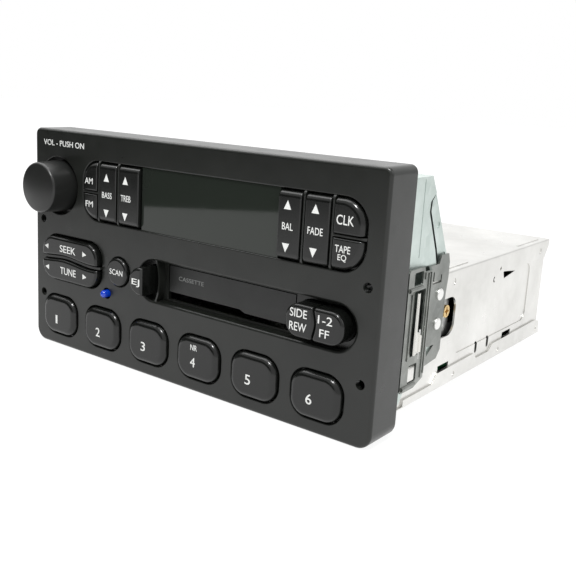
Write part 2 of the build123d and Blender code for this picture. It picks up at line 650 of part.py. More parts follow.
# Volume knob, its shaft, and the combined volume control and push switch
with BuildPart() as volume_knob:
    with BuildSketch(Plane(origin=(KNOB_X, FRONT, KNOB_Z), x_dir=(1, 0, 0), z_dir=(0, 0, 1))):
        with BuildLine():
            dome_edge = (KNOB_DOME[0], KNOB_TIP + KNOB_DOME[1])
            ThreePointArc((0, KNOB_TIP), (KNOB_DOME[0] / 2, KNOB_TIP + KNOB_DOME[1] / 4), dome_edge)
            rim_start = (KNOB_FRONT_RADIUS, KNOB_TIP + 2.4)
            ThreePointArc(dome_edge, (KNOB_FRONT_RADIUS - 0.3, KNOB_TIP + 1.6), rim_start)
            Polyline(rim_start, (KNOB_BASE_RADIUS, KNOB_BACK - 0.6),
                     (KNOB_BASE_RADIUS - 0.6, KNOB_BACK), (SHAFT_RADIUS, KNOB_BACK),
                     (SHAFT_RADIUS, SHAFT_FRONT), (0, SHAFT_FRONT), (0, KNOB_TIP))
        make_face()
    revolve(axis=Axis((KNOB_X, FRONT, KNOB_Z), (0, 1, 0)))
keep(volume_knob, "volume_knob")

with BuildPart() as volume_shaft:
    rods(face_at(SHAFT_FRONT), [(KNOB_X, KNOB_Z)], SHAFT_RADIUS, -(SHAFT_END - SHAFT_FRONT))
keep(volume_shaft, "volume_shaft")

with BuildPart() as power_switch_plunger:
    rods(face_at(SHAFT_END), [(KNOB_X, KNOB_Z)], PLUNGER_RADIUS, -(PLUNGER_END - SHAFT_END))
keep(power_switch_plunger, "power_switch_plunger")

with BuildPart() as volume_control:
    slab(face_at(BOARD_DEPTH + BOARD_THICK),
         (KNOB_X - POT_HALF, KNOB_X + POT_HALF, KNOB_Z - POT_HALF, KNOB_Z + POT_HALF),
         -(POT_END - BOARD_DEPTH - BOARD_THICK), radius=1.5)
    rods(face_at(BUSHING_FRONT), [(KNOB_X, KNOB_Z)], BUSHING_RADIUS, -(POT_END - BUSHING_FRONT))
    rods(face_at(BUSHING_FRONT), [(KNOB_X, KNOB_Z)], SHAFT_RADIUS + SHAFT_FIT,
         -(POT_END - BUSHING_FRONT), Mode.SUBTRACT)
keep(volume_control, "volume_control")

# Key guide: a moulded plate that steers the stems and carries the rocker pins
with BuildPart() as key_guide:
    slab(face_at(GUIDE_DEPTH), GUIDE_SPAN, -GUIDE_THICK, radius=2.0)
    rods(face_at(GUIDE_DEPTH + GUIDE_THICK), SPACERS, SPACER_RADIUS + 0.5,
         -(BOARD_DEPTH - GUIDE_DEPTH - GUIDE_THICK))
    slab(face_at(0), DECK_WINDOW[:1] + (FACE_WIDTH / 2,) + (30.9, DECK_WINDOW[3]), -FACE_DEPTH,
         mode=Mode.SUBTRACT)
    slab(face_at(0), grown(PANEL_SPAN, GAP), -FACE_DEPTH, mode=Mode.SUBTRACT)
    slab(face_at(0), (GUIDE_SPAN[0] - 1, KNOB_X + BUSHING_RADIUS + 1,
                      KNOB_Z - BUSHING_RADIUS - 1, KNOB_Z + BUSHING_RADIUS + 1),
         -FACE_DEPTH, mode=Mode.SUBTRACT)
    rods(face_at(0), [LAMP], LAMP_RADIUS + 1, -FACE_DEPTH, Mode.SUBTRACT)
    rods(face_at(0), SPACERS, SCREW_RADIUS, -FACE_DEPTH, Mode.SUBTRACT)
    with BuildSketch(face_at(0)):
        with Locations(*BUTTON_STEMS):
            Rectangle(STEM + 2 * GAP, STEM + 2 * GAP)
        with Locations(*ROCKER_STEMS):
            Rectangle(ROCKER_STEM + 4 * GAP, ROCKER_STEM + 4 * GAP)
        with Locations(*TALL_PIVOTS):
            Rectangle(BOSS_LENGTH + 2 * GAP, 2 * PIVOT_BOSS + 4 * GAP)
        with Locations(*WIDE_PIVOTS):
            Rectangle(2 * PIVOT_BOSS + 4 * GAP, BOSS_LENGTH + 2 * GAP)
    extrude(amount=-FACE_DEPTH, mode=Mode.SUBTRACT)
    for x, z in TALL_PIVOTS:
        rods(side_at(x - PIN_LENGTH / 2), [(PIVOT_DEPTH, z)], PIVOT_RADIUS, PIN_LENGTH, Mode.SUBTRACT)
    for x, z in WIDE_PIVOTS:
        rods(plan_at(z - PIN_LENGTH / 2), [(x, PIVOT_DEPTH)], PIVOT_RADIUS, PIN_LENGTH, Mode.SUBTRACT)
keep(key_guide, "key_guide")

# Steel hinge pins of the rockers, the two latches and the cassette door
with BuildPart() as hinge_pins:
    for x, z in TALL_PIVOTS:
        rods(side_at(x - PIN_LENGTH / 2), [(PIVOT_DEPTH, z)], PIVOT_RADIUS, PIN_LENGTH)
    for x, z in WIDE_PIVOTS:
        rods(plan_at(z - PIN_LENGTH / 2), [(x, PIVOT_DEPTH)], PIVOT_RADIUS, PIN_LENGTH)
    rods(plan_at(LATCH_PIN[0]), [(side * LATCH_PIVOT[0], LATCH_PIVOT[1]) for side in (-1, 1)],
         LATCH_PIN_RADIUS, LATCH_PIN[1] - LATCH_PIN[0])
    rods(side_at(SLOT[0] - 2.6), [DOOR_PIVOT], DOOR_PIN_RADIUS, SLOT[1] - SLOT[0] + 5.2)
keep(hinge_pins, "hinge_pins")

# Front circuit board, its tact switches and the screws that clamp it
with BuildPart() as front_circuit_board:
    slab(face_at(BOARD_DEPTH), GUIDE_SPAN, -BOARD_THICK, radius=2.0)
    slab(face_at(0), DECK_WINDOW[:1] + (FACE_WIDTH / 2,) + DECK_WINDOW[2:], -FACE_DEPTH,
         mode=Mode.SUBTRACT)
    rods(face_at(0), [(KNOB_X, KNOB_Z)], BUSHING_RADIUS, -FACE_DEPTH, Mode.SUBTRACT)
    rods(face_at(0), SPACERS, SCREW_RADIUS, -FACE_DEPTH, Mode.SUBTRACT)
keep(front_circuit_board, "front_circuit_board")

with BuildPart() as key_switches:
    with BuildSketch(face_at(BOARD_DEPTH)):
        with Locations(*BUTTON_STEMS, *ROCKER_STEMS):
            Rectangle(SWITCH_SIZE - 0.4, SWITCH_SIZE - 0.4)
    extrude(amount=SWITCH_HEIGHT)
    rods(face_at(BOARD_DEPTH - SWITCH_HEIGHT), BUTTON_STEMS + ROCKER_STEMS, SWITCH_TIP_RADIUS, SWITCH_TIP)
keep(key_switches, "key_switches")


def cross_slot(plane, x, y, reach, sink):
    """Cross recess in a screw head."""
    slab(plane, (x - reach, x + reach, y - 0.35, y + 0.35), sink, mode=Mode.SUBTRACT)
    slab(plane, (x - 0.35, x + 0.35, y - reach, y + reach), sink, mode=Mode.SUBTRACT)


# Screws: eight through the front board, four in the heat sink, one in the deck bracket
with BuildPart() as screws:
    rods(face_at(FACE_SKIN), SPACERS, SCREW_RADIUS, -(BOARD_DEPTH + BOARD_THICK - FACE_SKIN))
    rods(face_at(BOARD_DEPTH + BOARD_THICK), SPACERS, SCREW_RADIUS + 1, -1.2)
    for x, z in SPACERS:
        cross_slot(face_at(BOARD_DEPTH + BOARD_THICK + 0.7), x, z, 1.4, -0.5)
    rods(face_at(SINK_BACK), SINK_SCREWS, SINK_SCREW_RADIUS, -SINK_BASE)
    rods(face_at(SINK_BACK + SINK_BASE), SINK_SCREWS, 2.8, -1.8)
    for x, z in SINK_SCREWS:
        cross_slot(face_at(SINK_BACK + SINK_BASE + 1.0), x, z, 1.8, -0.8)
    rods(side_at(BRACKET_X - 1.4), [BRACKET_SCREW], SINK_SCREW_RADIUS, 2.4)
    rods(side_at(BRACKET_X + 1), [BRACKET_SCREW], 2.7, 1.4)
    rods(side_at(BRACKET_X + 1.6), [BRACKET_SCREW], 1.0, 0.8, Mode.SUBTRACT)
    cross_slot(side_at(BRACKET_X + 1.6), *BRACKET_SCREW, 1.9, 0.8)
keep(screws, "screws")

# Sheet frame behind the faceplate, with side walls that rise above the low chassis
with BuildPart() as front_frame:
    slab(face_at(FRAME_DEPTH), (-HALF, HALF) + FRAME_Z, -SHEET)
    for x in (-HALF, INNER):
        with BuildSketch(side_at(x)) as wall:
            polygon([(FRAME_DEPTH, FRAME_Z[0]), (WING_FOLD - 3, FRAME_Z[0]), (WING_FOLD, FRAME_Z[0] + 4),
                     (WING_FOLD, 21.5), (62.5, 24), (62.5, 47.2), (BAND_FRONT - 0.4, 47.2),
                     (BAND_FRONT - 0.4, SHELL_TOP + 0.2), *WING_EDGE,
                     (48.0, 90.4), (43.6, FRAME_Z[1]), (FRAME_DEPTH, FRAME_Z[1])])
        extrude(amount=SHEET)
        slab(side_at(x), (WING_CREASE - 0.2, WING_CREASE + 0.2, 66.0, FRAME_Z[1] - 1),
             SHEET + 0.12 if x > 0 else SHEET)
    slab(side_at(-HALF), (WING_CREASE - 0.2, WING_CREASE + 0.2, 66.0, FRAME_Z[1] - 1), -0.12)
    slab(face_at(0), (DECK_WINDOW[0], INNER - 3, 31.5, DECK_WINDOW[3]), -2 * FACE_DEPTH, mode=Mode.SUBTRACT)
    slab(face_at(0), (KNOB_X - POT_HALF - 0.5, KNOB_X + POT_HALF + 0.5,
                      KNOB_Z - POT_HALF - 0.5, KNOB_Z + POT_HALF + 0.5), -2 * FACE_DEPTH, mode=Mode.SUBTRACT)
    slab(face_at(0), (-32.5, 12.5, FRAME_Z[0] - 1, 18.5), -2 * FACE_DEPTH, mode=Mode.SUBTRACT)
    rods(face_at(0), [(side * POST_X, z) for side in (-1, 1) for z in POSTS_Z[:2]],
         SCREW_RADIUS, -2 * FACE_DEPTH, Mode.SUBTRACT)
    rods(face_at(0), [(side * 60, 76) for side in (-0.3, 0.3, 1)], 6, -2 * FACE_DEPTH, Mode.SUBTRACT)
    for z in RIVETS_Z:
        rods(side_at(-FACE_WIDTH), [(RIVET_DEPTH, z)], 1.5, 2 * FACE_WIDTH, Mode.SUBTRACT)
keep(front_frame, "front_frame")

with BuildPart() as frame_rear_cover:
    with BuildSketch(side_at(-INNER)):
        polygon([(FRAME_DEPTH + SHEET, BACK_SLOPE[0][1] + SHEET),
                 (BACK_SLOPE[0][0], BACK_SLOPE[0][1] + SHEET),
                 (BACK_SLOPE[1][0], BACK_SLOPE[1][1]), (BACK_SLOPE[1][0] - 0.9, BACK_SLOPE[1][1]),
                 (BACK_SLOPE[0][0] - 0.5, BACK_SLOPE[0][1]), (FRAME_DEPTH + SHEET, BACK_SLOPE[0][1])])
    extrude(amount=2 * INNER)
    for x in (-INNER, INNER - SHEET):
        with BuildSketch(side_at(x)):
            polygon([(49.2, 89.4), BACK_SLOPE[1]] + [(depth + WING_GAP, z) for depth, z in WING_EDGE])
        extrude(amount=SHEET)
    for x in (-INNER, INNER - 0.25):
        rods(side_at(x), [(53.6, 77.0), (61.0, 64.0)], 1.3, 0.25, Mode.SUBTRACT)
keep(frame_rear_cover, "frame_rear_cover")


# Flat sides of the chassis, each with a pressed panel, a D hole, a vent and slots
with BuildPart() as side_plates:
    for x in (-INNER, INNER - SHEET):
        slab(side_at(x), (PLATE_FRONT, PLATE_END, SHELL_BOTTOM + SHEET, SHELL_TOP - SHEET), SHEET)
        outer_skin = x + SHEET - PRESSED if x > 0 else x
        slab(side_at(outer_skin), (80.6, 164.0, 16.8, 46.6), PRESSED, radius=5.0, mode=Mode.SUBTRACT)
        with BuildSketch(side_at(x)):
            span(61.0, 78.4, 27.2, 44.2, 5.5)
            span(61.0, 68.0, 27.2, 44.2)
            polygon([(129.4, 46.9), (144.4, 45.0), (131.0, 43.2)])
            for depth in (105.0, 118.0):
                span(depth - 1.2, depth + 1.2, 12.2, 17.6, 1.1)
            with Locations((119.6, 44.4)):
                Circle(1.4)
                Circle(0.6, mode=Mode.SUBTRACT)
            span(119.8, 121.4, 43.0, 46.0, mode=Mode.SUBTRACT)
            span(66.2, 76.4, 12.4, 15.0)
            span(135.8, 146.0, 12.8, 15.4)
            with Locations(*[(RIVET_DEPTH, z) for z in RIVETS_Z]):
                Circle(1.5)
        extrude(amount=SHEET, mode=Mode.SUBTRACT)
keep(side_plates, "side_plates")

# Covers: each folds over the side plates as a band
with BuildPart() as top_cover:
    slab(plan_at(SHELL_TOP - SHEET), (-HALF, HALF, BAND_FRONT, SHELL_END), SHEET)
    slab(plan_at(SHELL_TOP - SHEET), (-INNER, INNER, SHELL_FRONT, BAND_FRONT), SHEET)
    for x in (-HALF, INNER):
        with BuildSketch(side_at(x)) as band:
            polygon([(BAND_FRONT, SHELL_TOP), (SHELL_END, SHELL_TOP), (SHELL_END, SHELL_TOP - 3.0),
                     (SHELL_END - 4.5, BAND_TOP_Z - 0.6), (BAND_FRONT, BAND_TOP_Z + 0.4)])
        extrude(amount=SHEET)
        rods(side_at(x), [(123.0, 49.3)], 0.9, SHEET, Mode.SUBTRACT)
        dimple_skin = x + SHEET - 0.25 if x > 0 else x
        rods(side_at(dimple_skin), [(depth, DIMPLE_Z) for depth in DIMPLES], 1.5, 0.25, Mode.SUBTRACT)
    rods(side_at(-FACE_WIDTH), [(RIVET_DEPTH, z) for z in RIVETS_Z], 1.5, 2 * FACE_WIDTH, Mode.SUBTRACT)
    fold = top_cover.edges().filter_by(Axis.Y).group_by(Axis.Z)[-1].sort_by(Axis.X)
    fillet([fold[0], fold[-1]], SHEET - 0.1)
    for low, high in ((66.0, 92.0), (150.0, 178.0)):
        for x in (-HALF + 3.2, HALF - 4.0):
            slab(plan_at(SHELL_TOP), (x, x + SHEET, low, high), 0.25)
keep(top_cover, "top_cover")

with BuildPart() as bottom_cover:
    slab(plan_at(SHELL_BOTTOM), (-HALF, HALF, FRAME_DEPTH + SHEET + 1, SHELL_END), SHEET)
    for x in (-HALF, INNER):
        with BuildSketch(side_at(x)):
            polygon(BOTTOM_BAND)
        extrude(amount=SHEET)
        rods(side_at(x + SHEET - 0.25 if x > 0 else x), [(d, BOTTOM_DIMPLE_Z) for d in BOTTOM_DIMPLES],
             1.2, 0.25, Mode.SUBTRACT)
    rods(plan_at(SHELL_BOTTOM), [(x, d) for x in (-78, 0, 78) for d in (30, 105, 170)], 3.0,
         MAIN_Z - SHELL_BOTTOM)
    fold = bottom_cover.edges().filter_by(Axis.Y).group_by(Axis.Z)[0].sort_by(Axis.X)
    fillet([fold[0], fold[-1]], SHEET - 0.1)
keep(bottom_cover, "bottom_cover")


# Spring-steel clips: an outer leaf for the release tool, folded in to a riveted rear leaf
with BuildPart() as side_clips:
    for side in (-1, 1):
        with BuildSketch(plan_at(CLIP_Z[0])):
            polygon([(side * x, depth) for x, depth in CLIP_PLAN])
        extrude(amount=CLIP_Z[1] - CLIP_Z[0])
    with BuildSketch(side_at(-FACE_WIDTH / 2)):
        polygon(CLIP_SIDE)
    extrude(amount=FACE_WIDTH, mode=Mode.INTERSECT)
    with BuildSketch(side_at(-FACE_WIDTH / 2)):
        span(27.4, 34.4, 57.0, 62.2, 0.6)
        span(28.6, 35.2, 18.4, 25.6, 0.6)
        span(28.6, 37.4, 29.0, 55.0, 0.8)
        polygon([(50.0, 27.5), (56.5, 27.2), (50.6, 23.4)])
        span(50.4, 58.2, 53.4, 54.4)
        span(50.4, 51.4, 53.4, 58.4)
        span(57.2, 58.2, 53.4, 56.6)
        with Locations(*[(RIVET_DEPTH, z) for z in RIVETS_Z]):
            Circle(1.5)
    extrude(amount=FACE_WIDTH, mode=Mode.SUBTRACT)
    for outer in (CLIP_OUT + SHEET, -CLIP_OUT - SHEET):
        bulge = outer + 0.8 if outer > 0 else outer - 0.8
        for low, high in GUIDE_LOOPS:
            with BuildSketch(face_at(24.0)):
                with BuildLine():
                    Line((outer, high), (outer, low))
                    ThreePointArc((outer, low), (bulge, (low + high) / 2), (outer, high))
                make_face()
            extrude(amount=-10.2)
    for plane_x in (CLIP_OUT + SHEET, -CLIP_OUT - SHEET - CLIP_RIDGE):
        for depth, low, high in CLIP_RIDGES:
            slab(side_at(plane_x), (depth - 0.3, depth + 0.3, low, high), CLIP_RIDGE)
    rods(plan_at(LATCH_PIN[0]), [(side * LATCH_PIVOT[0], LATCH_PIVOT[1]) for side in (-1, 1)],
         LATCH_PIN_RADIUS, LATCH_PIN[1] - LATCH_PIN[0], Mode.SUBTRACT)
keep(side_clips, "side_clips")


def latch_leaf(label, side):
    """Sprung leaf that stands out of the clip and catches the mounting cage."""
    pivot = (side * LATCH_PIVOT[0], LATCH_PIVOT[1])
    with BuildPart() as leaf:
        with BuildSketch(plan_at(LATCH_Z[0])):
            polygon([(side * x, depth) for x, depth in
                     ((92.45, 36.0), (93.2, 36.0), (94.6, 29.6), (94.0, 29.4), (92.9, 32.6))])
            with Locations(pivot):
                Circle(1.0)
                Circle(LATCH_PIN_RADIUS + PIVOT_FIT, mode=Mode.SUBTRACT)
        extrude(amount=LATCH_Z[1] - LATCH_Z[0])
        with BuildSketch(side_at(-FACE_WIDTH / 2)):
            polygon([(29.0, LATCH_Z[0]), (37.2, LATCH_Z[0]), (37.2, LATCH_Z[0] + 6), (31.6, LATCH_PIN[1]),
                     (31.2, LATCH_Z[1]), (29.0, LATCH_Z[1])])
        extrude(amount=FACE_WIDTH, mode=Mode.INTERSECT)
    keep(leaf, label)


latch_leaf("latch_right", 1)
latch_leaf("latch_left", -1)

with BuildPart() as clip_rivets:
    rivet_places = [(RIVET_DEPTH, z) for z in RIVETS_Z]
    for side in (-1, 1):
        inner_x = side * (INNER - SHEET)
        outer_x = side * (HALF + SHEET)
        rods(side_at(inner_x), rivet_places, 1.5, outer_x - inner_x)
        rods(side_at(outer_x), rivet_places, 2.5, side * 0.9)
        rods(side_at(inner_x), rivet_places, 2.3, -side * 0.6)
    heads = clip_rivets.edges().filter_by(GeomType.CIRCLE).group_by(Axis.X)
    fillet(heads[0] + heads[-1], 0.6)
keep(clip_rivets, "clip_rivets")

# Cassette door, hinged at its top edge
with BuildPart() as cassette_door:
    slab(face_at(DOOR_DEPTH), (SLOT[0] + 0.5, SLOT[1] - 0.5, 38.1, 50.6), -DOOR_THICK)
    with BuildSketch(face_at(DOOR_DEPTH)):
        polygon([(SLOT[0], 37.0), (29.0, 37.0), (31.6, 38.1), (29.0, 39.2), (SLOT[0], 39.2)])
        polygon([(28.9, 39.2), (31.6, 38.1), (28.9, 38.1)])
    extrude(amount=-DOOR_THICK, mode=Mode.SUBTRACT)
    for low, high in ((SLOT[0] + 0.6, SLOT[0] + 4.4), (SLOT[1] - 4.4, SLOT[1] - 0.6)):
        rods(side_at(low), [DOOR_PIVOT], 1.1, high - low)
        slab(side_at(low), (DOOR_DEPTH + 0.9, DOOR_PIVOT[0], 49.6, DOOR_PIVOT[1]), high - low)
        rods(side_at(low), [DOOR_PIVOT], DOOR_PIN_RADIUS + PIVOT_FIT, high - low, Mode.SUBTRACT)
keep(cassette_door, "cassette_door")

# Cassette deck: plate with side walls, carrier, reels, capstans, motor and head
with BuildPart() as deck_frame:
    slab(plan_at(DECK_Z), DECK_SIDE + (FRAME_DEPTH + SHEET, DECK_END), 1.0)
    for x in (DECK_SIDE[0], DECK_SIDE[1] - SHEET):
        slab(side_at(x), (FRAME_DEPTH + SHEET, 118.0, DECK_Z, 54.6), SHEET)
    for x0, x1 in ((DECK_SIDE[0] - 12, DECK_SIDE[0] + SHEET), (DECK_SIDE[1] - SHEET, DECK_SIDE[1] + 6)):
        slab(face_at(FRAME_DEPTH + SHEET), (x0, x1, DECK_Z, 31.4), -SHEET)
    slab(side_at(BRACKET_X), BRACKET_SPAN, 1.0)
    slab(side_at(BRACKET_X), BRACKET_FOOT, 1.0)
    slab(plan_at(BRACKET_SPAN[2]), (DECK_SIDE[1] - SHEET, BRACKET_X + 1) + BRACKET_SPAN[:2], 1.0)
    rods(plan_at(DECK_Z), [(CAPSTAN_X, d) for d in CAPSTAN_DEPTHS], CAPSTAN_RADIUS + 0.05, 1.0, Mode.SUBTRACT)
    rods(plan_at(DECK_Z), [(REEL_X, d) for d in REEL_DEPTHS], 1.05, 1.0, Mode.SUBTRACT)
    rods(plan_at(DECK_Z), [MOTOR], 3.0, 1.0, Mode.SUBTRACT)
    rods(side_at(BRACKET_X), [BRACKET_SCREW], SINK_SCREW_RADIUS, 1.0, Mode.SUBTRACT)
    slab(plan_at(DECK_Z), (-6.0, 12.0, 40.0, 100.0), 1.0, radius=4.0, mode=Mode.SUBTRACT)
    slab(side_at(-20), (62.0, 102.0, 38.0, 47.0), 10.0, radius=3.0, mode=Mode.SUBTRACT)
keep(deck_frame, "deck_frame")

with BuildPart() as cassette_carrier:
    slab(plan_at(CARRIER_Z), CARRIER_SPAN, 0.8)
    slab(plan_at(CARRIER_Z), (-2.0, CARRIER_SPAN[1] + 1, 26.0, 104.0), 0.8, mode=Mode.SUBTRACT)
    slab(side_at(CARRIER_SPAN[0]), CARRIER_SPAN[2:] + (CARRIER_Z, 50.4), 0.8)
    slab(plan_at(49.6), (CARRIER_SPAN[0], CARRIER_SPAN[0] + 6) + CARRIER_SPAN[2:], 0.8)
    for low, high in ((CARRIER_SPAN[2], 25.5), (104.5, CARRIER_SPAN[3])):
        slab(side_at(CARRIER_SPAN[1] - 0.8), (low, high, CARRIER_Z, 50.4), 0.8)
    slab(plan_at(49.6), (CARRIER_SPAN[1] - 6, CARRIER_SPAN[1]) + CARRIER_SPAN[2:], 0.8)
    slab(face_at(CARRIER_SPAN[3] - 0.8), CARRIER_SPAN[:2] + (CARRIER_Z, 50.4), -0.8)
keep(cassette_carrier, "cassette_carrier")


def reel(label, depth):
    """Reel hub: table, splined post and the pin that turns in the deck plate."""
    with BuildPart() as hub:
        rods(plan_at(DECK_Z + 1.2), [(REEL_X, depth)], 7.0, 2.0)
        rods(plan_at(DECK_Z + 1.2), [(REEL_X, depth)], 3.2, REEL_TOP - DECK_Z - 1.2)
        fillet(hub.faces().sort_by(Axis.Z)[-1].edges(), 1.0)
        for turn in range(3):
            angle = radians(120 * turn)
            rods(plan_at(DECK_Z + 3.0), [(REEL_X + 3.2 * cos(angle), depth + 3.2 * sin(angle))], 0.8, 3.8)
        rods(plan_at(DECK_Z - 1.5), [(REEL_X, depth)], 1.0, 3.0)
    keep(hub, label)


def flywheel(label, depth):
    """Capstan flywheel with a belt groove and its shaft."""
    with BuildPart() as wheel:
        rods(plan_at(FLYWHEEL_Z[0]), [(CAPSTAN_X, depth)], FLYWHEEL_RADIUS + 1.8, 1.0)
        rods(plan_at(FLYWHEEL_Z[0]), [(CAPSTAN_X, depth)], FLYWHEEL_RADIUS, FLYWHEEL_Z[1] - FLYWHEEL_Z[0])
        rods(plan_at(FLYWHEEL_Z[1] - 1.0), [(CAPSTAN_X, depth)], FLYWHEEL_RADIUS + 1.8, 1.0)
        rods(plan_at(FLYWHEEL_Z[0] - 2), [(CAPSTAN_X, depth)], CAPSTAN_RADIUS, REEL_TOP - FLYWHEEL_Z[0] + 2)
    keep(wheel, label)


reel("reel_supply", REEL_DEPTHS[0])
reel("reel_takeup", REEL_DEPTHS[1])
flywheel("flywheel_front", CAPSTAN_DEPTHS[0])
flywheel("flywheel_rear", CAPSTAN_DEPTHS[1])

with BuildPart() as drive_motor:
    rods(plan_at(DECK_Z + 1.0), [MOTOR], MOTOR_RADIUS, MOTOR_TOP - DECK_Z - 1.0)
    fillet(drive_motor.faces().sort_by(Axis.Z)[-1].edges(), 1.2)
    rods(plan_at(DECK_Z + 1.0), [MOTOR], 1.06, MOTOR_TOP - DECK_Z - 2.0, Mode.SUBTRACT)
keep(drive_motor, "drive_motor")

with BuildPart() as motor_pulley:
    rods(plan_at(FLYWHEEL_Z[0]), [MOTOR], PULLEY_RADIUS + 1.4, 1.0)
    rods(plan_at(FLYWHEEL_Z[0]), [MOTOR], PULLEY_RADIUS, FLYWHEEL_Z[1] - FLYWHEEL_Z[0])
    rods(plan_at(FLYWHEEL_Z[1] - 1.0), [MOTOR], PULLEY_RADIUS + 1.4, 1.0)
    rods(plan_at(FLYWHEEL_Z[0]), [MOTOR], 1.0, MOTOR_TOP - FLYWHEEL_Z[0] - 6)
keep(motor_pulley, "motor_pulley")


def belt_loop(extra):
    """Tight loop around the two flywheels and the motor pulley."""
    with Locations(*[(CAPSTAN_X, depth) for depth in CAPSTAN_DEPTHS]):
        Circle(FLYWHEEL_RADIUS + extra)
    with Locations(MOTOR):
        Circle(PULLEY_RADIUS + extra)
    make_hull()


with BuildPart() as drive_belt:
    with BuildSketch(plan_at(BELT_Z[0])):
        belt_loop(BELT_CLEAR + BELT_THICK)
    extrude(amount=BELT_Z[1] - BELT_Z[0])
    with BuildSketch(plan_at(BELT_Z[0])):
        belt_loop(BELT_CLEAR)
    extrude(amount=BELT_Z[1] - BELT_Z[0], mode=Mode.SUBTRACT)
keep(drive_belt, "drive_belt")

with BuildPart() as tape_head:
    slab(plan_at(32.0), (HEAD_X - 4.0, HEAD_X + 2.2, HEAD_DEPTH - 6, HEAD_DEPTH + 6), 8.5)
    fillet(tape_head.edges().filter_by(Axis.Z).group_by(Axis.X)[0], 2.5)
    slab(plan_at(31.0), (HEAD_X, HEAD_X + 2.4, 28.0, 98.0), 1.0)
    slab(plan_at(31.0), (HEAD_X - 9, HEAD_X, 50.0, 54.0), 1.0)
keep(tape_head, "tape_head")

# Main board, components, rear panel and sockets
with BuildPart() as main_circuit_board:
    slab(plan_at(MAIN_Z), MAIN_SPAN, BOARD_THICK)
keep(main_circuit_board, "main_circuit_board")

# Parts on the main board: capacitors, chips, coils, tuner can, amplifier and board connector
with BuildPart() as board_components:
    rods(plan_at(BOARD_TOP), [(x, 160) for x in (-8, 12, 32)], 7.0, 22.0)
    rods(plan_at(BOARD_TOP), [(-60 + 11 * i, 150) for i in range(4)], 4.0, 13.0)
    for x, d in ((-60, 128), (-30, 128), (-40, 36), (74, 100), (74, 132)):
        slab(plan_at(BOARD_TOP), (x - 8, x + 8, d - 5, d + 5), 4.0)
    rods(plan_at(BOARD_TOP), [(74, 50 + 9 * i) for i in range(4)], 2.6, 7.0)
    slab(plan_at(BOARD_TOP), (-82.0, -38.0, 52.0, 112.0), 20.0)
    slab(face_at(REAR_DEPTH), (-64.0, -36.0, 14.0, 30.0), 4.6)
    slab(face_at(REAR_DEPTH - 4.1), (-62.0, -38.0, BOARD_TOP, 14.0), 0.5)
    slab(plan_at(BOARD_TOP), (-30.0, 10.0, BOARD_DEPTH + BOARD_THICK, 24.0), 6.5)
keep(board_components, "board_components")

with BuildPart() as rear_panel:
    slab(face_at(REAR_DEPTH), (-INNER, INNER, SHELL_BOTTOM + SHEET, SHELL_TOP - SHEET), -1.0)
    rods(face_at(REAR_DEPTH), [ANTENNA], ANTENNA_OUTER, -1.0, Mode.SUBTRACT)
    for limits in SOCKETS:
        slab(face_at(REAR_DEPTH), limits, -1.0, mode=Mode.SUBTRACT)
    rods(face_at(REAR_DEPTH), [STUD], 2.0, -1.0, Mode.SUBTRACT)
    for i in range(7):
        slab(face_at(REAR_DEPTH), (-8.0, 10.0, 12.0 + 3.6 * i, 13.6 + 3.6 * i), -1.0, mode=Mode.SUBTRACT)
keep(rear_panel, "rear_panel")

with BuildPart() as heat_sink:
    slab(face_at(SINK_BACK), SINK, -SINK_BASE)
    pitch = (SINK[1] - SINK[0] - 2 * FIN) / (FIN_COUNT - 1)
    for i in range(FIN_COUNT):
        x = SINK[0] + FIN / 2 + i * pitch
        slab(face_at(SINK_BACK + SINK_BASE), (x, x + FIN) + SINK[2:], -8.0)
    rods(face_at(SINK_BACK + SINK_BASE), SINK_SCREWS, 3.4, -8.0, Mode.SUBTRACT)
    rods(face_at(SINK_BACK), SINK_SCREWS, SINK_SCREW_RADIUS, -SINK_BASE, Mode.SUBTRACT)
keep(heat_sink, "heat_sink")

# Open shrouded sockets for the speaker and power plugs, each with two rows of contact pins
with BuildPart() as rear_sockets:
    for limits, count in zip(SOCKETS, SOCKET_PINS):
        slab(face_at(SOCKET_FRONT), limits, -(SOCKET_END - SOCKET_FRONT), radius=1.0)
        slab(face_at(SOCKET_FLOOR), grown(limits, -1.2), -FACE_DEPTH, radius=0.5, mode=Mode.SUBTRACT)
        with BuildSketch(face_at(SOCKET_FLOOR)):
            with Locations(centre(limits)):
                with GridLocations((limits[1] - limits[0] - 6) / (count - 1), 5.0, count, 2):
                    Rectangle(0.8, 0.8)
        extrude(amount=-8.0)
keep(rear_sockets, "rear_sockets")

with BuildPart() as antenna_socket:
    rods(face_at(ANTENNA_END - ANTENNA_LENGTH - 2), [ANTENNA], ANTENNA_OUTER, -(ANTENNA_LENGTH + 2))
    rods(face_at(ANTENNA_END - ANTENNA_LENGTH), [ANTENNA], ANTENNA_BORE, -ANTENNA_LENGTH, Mode.SUBTRACT)
keep(antenna_socket, "antenna_socket")

with BuildPart() as rear_support_stud:
    rods(face_at(REAR_DEPTH - 2.5), [STUD], 2.0, -(STUD_END - REAR_DEPTH))
    rods(face_at(REAR_DEPTH - 2.5), [STUD], 4.0, -2.5)
    rods(face_at(REAR_DEPTH + 1), [STUD], STUD_RADIUS, -(STUD_END - REAR_DEPTH - 1))
    chamfer(rear_support_stud.faces().sort_by(Axis.Y)[-1].edges(), 1.2)
keep(rear_support_stud, "rear_support_stud")
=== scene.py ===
import math

import bpy
from mathutils import Matrix, Vector


